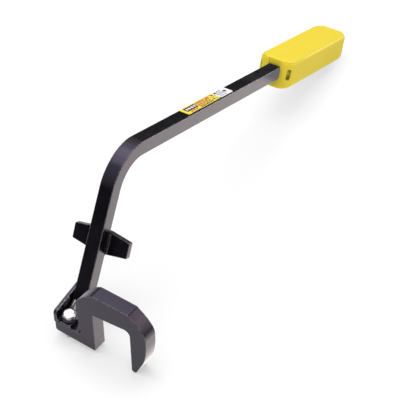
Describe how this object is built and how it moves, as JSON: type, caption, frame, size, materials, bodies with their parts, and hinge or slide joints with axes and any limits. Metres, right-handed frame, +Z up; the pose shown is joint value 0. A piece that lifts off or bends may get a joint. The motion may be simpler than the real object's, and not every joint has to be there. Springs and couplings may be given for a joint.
{
  "type": "hook jaw lever wrench",
  "caption": "Bent square steel lever with a moulded grip, a welded cross plate near its foot and a flat hook jaw that turns on a bolt below.",
  "frame": {"origin": "centre of the footprint, on the floor, with the tool lying on its nut, finger tip and grip", "axes": "+X along the lever from the jaw towards the grip's end, +Z up, -Y the side that the hook jaw reaches to"},
  "size_m": [0.6044, 0.136, 0.1678],
  "materials": {
    "black_paint": "gloss black paint over sawn and rolled steel",
    "weld_paint": "gloss black paint over rippled weld beads",
    "zinc": "bright zinc plate",
    "grip_yellow": "moulded yellow plastic, satin with a fine grain",
    "print_yellow": "printed yellow film",
    "print_white": "printed white film"
  },
  "bodies": {
    "lever": {"foot_weld_front": "weld_paint", "foot_weld_rear": "weld_paint", "grip_lower_shell": "grip_yellow", "grip_screw_1": "zinc", "grip_screw_2": "zinc", "grip_screw_3": "zinc", "grip_screw_4": "zinc", "grip_upper_shell": "grip_yellow", "head_washer": "black_paint", "label_white": "print_white", "label_yellow": "print_yellow", "lever_bar": "black_paint", "lock_nut": "zinc", "pivot_bolt": "zinc", "pivot_bracket": "black_paint", "pusher_plate": "black_paint", "pusher_weld_bottom": "weld_paint", "pusher_weld_left": "weld_paint", "pusher_weld_right": "weld_paint", "pusher_weld_top": "weld_paint"},
    "jaw": {"hook_jaw": "black_paint"}
  },
  "joints": [
    {"name": "jaw_pivot", "type": "hinge", "parent": "lever", "child": "jaw", "pos_m": [-0.28729, 0.03883, 0.01368], "axis": [-0.0131, -0.0869, 0.9961], "range_deg": [-203, 50]}
  ]
}
